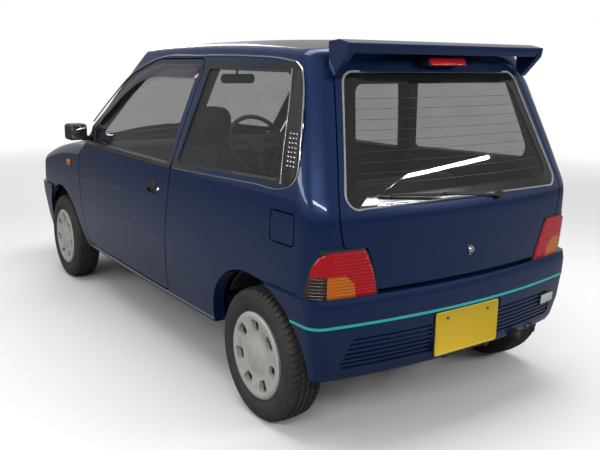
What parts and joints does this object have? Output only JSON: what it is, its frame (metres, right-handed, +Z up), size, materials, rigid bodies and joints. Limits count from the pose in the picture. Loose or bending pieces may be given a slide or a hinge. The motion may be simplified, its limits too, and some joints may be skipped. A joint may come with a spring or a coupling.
{
  "type": "three-door kei hatchback car",
  "caption": "Small three-door hatchback car with a hollow cabin, opening doors, bonnet, hatch and fuel flap, steering and rolling wheels.",
  "frame": {"origin": "on the floor, at mid-length on the centre plane", "axes": "+X forward, +Y to the car's left, +Z up"},
  "size_m": [3.2949, 1.58, 1.4169],
  "materials": {
    "paint": "navy metallic paint",
    "underside": "dark underbody paint",
    "glass": "lightly tinted glass",
    "black_plastic": "black moulded plastic",
    "lamp_clear": "clear lamp glass",
    "lamp_red": "red and amber lamp plastic",
    "seat_cloth": "dark grey seat cloth",
    "dash_plastic": "dark grey grained plastic",
    "steel": "plain steel",
    "iron": "cast metal",
    "tyre": "black tyre rubber",
    "cover": "pale grey wheel cover"
  },
  "bodies": {
    "chassis": {"underbody": "underside", "bulkhead": "underside", "aprons": "underside", "front_suspension": "steel", "engine_block": "iron", "side_panel_left": "paint", "side_panel_right": "paint", "roof_panel": "paint", "fenders": "paint", "nose_panel": "paint", "cowl_panel": "black_plastic", "front_bumper": "paint", "rear_bumper": "paint", "rear_panel": "paint", "windscreen": "glass", "quarter_glasses": "glass", "headlamps": "lamp_clear", "tail_lamps": "lamp_red", "dashboard": "dash_plastic", "front_seats": "seat_cloth", "rear_seat": "seat_cloth", "rear_axle": "steel", "exhaust": "steel", "fuel_tank": "steel", "front_wipers": "black_plastic"},
    "left_door": {"door_left": "paint", "door_glass_left": "glass", "door_mirror_left": "black_plastic"},
    "right_door": {"door_right": "paint", "door_glass_right": "glass", "door_mirror_right": "black_plastic"},
    "bonnet_lid": {"bonnet": "paint"},
    "tailgate": {"hatch": "paint", "hatch_glass": "glass", "hatch_spoiler": "paint", "rear_wiper": "black_plastic"},
    "flap": {"fuel_flap": "paint"},
    "left_knuckle": {"knuckle_left": "iron"},
    "right_knuckle": {"knuckle_right": "iron"},
    "front_left_wheel": {"tyre_front_left": "tyre", "wheel_front_left": "cover"},
    "front_right_wheel": {"tyre_front_right": "tyre", "wheel_front_right": "cover"},
    "rear_left_wheel": {"tyre_rear_left": "tyre", "wheel_rear_left": "cover"},
    "rear_right_wheel": {"tyre_rear_right": "tyre", "wheel_rear_right": "cover"},
    "steering_column": {"steering_wheel": "black_plastic"}
  },
  "joints": [
    {"name": "left_door_hinge", "type": "hinge", "parent": "chassis", "child": "left_door", "pos_m": [0.6, 0.673, 0.67], "axis": [0, 0, -1], "range_deg": [0, 65]},
    {"name": "right_door_hinge", "type": "hinge", "parent": "chassis", "child": "right_door", "pos_m": [0.6, -0.673, 0.67], "axis": [0, 0, 1], "range_deg": [0, 65]},
    {"name": "bonnet_hinge", "type": "hinge", "parent": "chassis", "child": "bonnet_lid", "pos_m": [0.782, 0, 0.884], "axis": [0, -1, 0], "range_deg": [0, 50]},
    {"name": "hatch_hinge", "type": "hinge", "parent": "chassis", "child": "tailgate", "pos_m": [-1.39, 0, 1.391], "axis": [0, 1, 0], "range_deg": [0, 75]},
    {"name": "fuel_flap_hinge", "type": "hinge", "parent": "chassis", "child": "flap", "pos_m": [-1.336, 0.6658, 0.775], "axis": [0, 0, -1], "range_deg": [0, 85]},
    {"name": "steer_left", "type": "hinge", "parent": "chassis", "child": "left_knuckle", "pos_m": [1.042, 0.538, 0.254], "axis": [0, -0.2079, 0.9781], "range_deg": [-33, 33]},
    {"name": "steer_right", "type": "hinge", "parent": "chassis", "child": "right_knuckle", "pos_m": [1.042, -0.538, 0.254], "axis": [0, 0.2079, 0.9781], "range_deg": [-33, 33]},
    {"name": "steering_wheel_turn", "type": "hinge", "parent": "chassis", "child": "steering_column", "pos_m": [0.36, -0.305, 0.83], "axis": [-0.8829, 0, 0.4695], "range_deg": [-500, 500]},
    {"name": "front_left_roll", "type": "hinge", "parent": "left_knuckle", "child": "front_left_wheel", "pos_m": [1.042, 0.6, 0.254], "axis": [0, 1, 0], "continuous": true},
    {"name": "front_right_roll", "type": "hinge", "parent": "right_knuckle", "child": "front_right_wheel", "pos_m": [1.042, -0.6, 0.254], "axis": [0, 1, 0], "continuous": true},
    {"name": "rear_left_roll", "type": "hinge", "parent": "chassis", "child": "rear_left_wheel", "pos_m": [-1.218, 0.6, 0.254], "axis": [0, 1, 0], "continuous": true},
    {"name": "rear_right_roll", "type": "hinge", "parent": "chassis", "child": "rear_right_wheel", "pos_m": [-1.218, -0.6, 0.254], "axis": [0, 1, 0], "continuous": true}
  ],
  "couplings": [
    {"joint": "steer_right", "follows": "steer_left", "ratio": 1},
    {"joint": "steering_wheel_turn", "follows": "steer_left", "ratio": 15}
  ]
}
